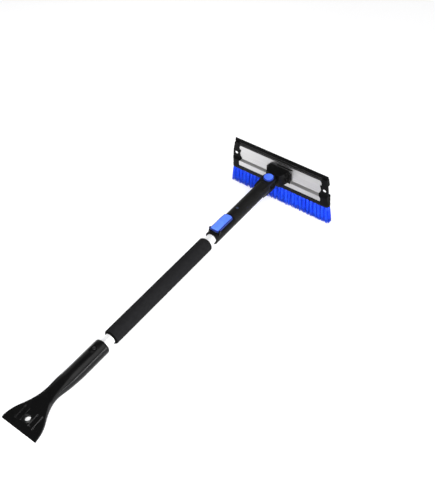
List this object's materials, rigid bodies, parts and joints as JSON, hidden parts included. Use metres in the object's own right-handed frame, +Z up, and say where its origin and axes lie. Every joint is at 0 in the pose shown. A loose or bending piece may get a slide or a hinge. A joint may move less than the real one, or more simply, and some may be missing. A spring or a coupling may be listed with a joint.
{
  "type": "snow brush scraper",
  "caption": "Telescoping snow broom with a swivelling bristle and squeegee head, a cam-lever clamp, a foam grip and an ice scraper blade at the foot.",
  "frame": {"origin": "on the ground, under the middle of the bounding box of the broom lying on its bristles and scraper lip, handle fully closed", "axes": "+X from the scraper towards the brush head, along the ground under the handle; +Z up; the handle rises 6.3 degrees towards the head"},
  "size_m": [0.9164, 0.297, 0.1473],
  "materials": {
    "aluminium_plate": "satin extruded aluminium",
    "aluminium_tube": "drawn aluminium",
    "black_plastic": "moulded black plastic",
    "cap_plastic": "moulded black plastic",
    "scraper_plastic": "moulded black plastic",
    "blue_plastic": "blue moulded plastic",
    "bristle": "blue bristle fibre",
    "squeegee_rubber": "black rubber",
    "foam": "black closed-cell foam",
    "steel": "zinc-plated steel",
    "dark_steel": "blackened steel",
    "nylon": "natural nylon",
    "brake_plastic": "dark grey nylon"
  },
  "bodies": {
    "handle": {"outer_tube": "aluminium_tube", "foam_grip": "foam", "scraper": "scraper_plastic", "scraper_screw": "dark_steel", "clamp_housing": "black_plastic", "housing_screw": "dark_steel", "lever_pin": "steel", "brake_shoe": "brake_plastic"},
    "extension": {"inner_tube": "aluminium_tube", "guide_bush": "nylon", "neck": "black_plastic", "neck_screw": "dark_steel", "pivot_axle": "steel", "axle_nut": "steel", "swivel_washers": "nylon", "pivot_spring": "steel"},
    "lever": {"clamp_lever": "blue_plastic"},
    "button": {"pivot_button": "blue_plastic"},
    "head": {"head_plate": "aluminium_plate", "plate_strip": "black_plastic", "brush_back": "black_plastic", "bristles": "bristle", "squeegee_carrier": "black_plastic", "squeegee_blade": "squeegee_rubber", "end_cap_left": "cap_plastic", "end_cap_right": "cap_plastic", "pivot_bracket": "black_plastic", "bracket_screws": "steel"}
  },
  "joints": [
    {"name": "telescope", "type": "slide", "parent": "handle", "child": "extension", "axis": [0.9938, 0, 0.1111], "range_m": [0, 0.35]},
    {"name": "head_swivel", "type": "hinge", "parent": "extension", "child": "head", "pos_m": [0.38381, 0, 0.09566], "axis": [-0.1111, 0, 0.9938], "range_deg": [-90, 90]},
    {"name": "release_button", "type": "slide", "parent": "extension", "child": "button", "axis": [0.1111, 0, -0.9938], "range_m": [0, 0.003], "stiffness_N_per_m": 1500, "springref_m": -0.002, "deforming": ["pivot_spring"]},
    {"name": "lever_hinge", "type": "hinge", "parent": "handle", "child": "lever", "pos_m": [0.16248, 0, 0.08721], "axis": [0, -1, 0], "range_deg": [0, 100]}
  ]
}
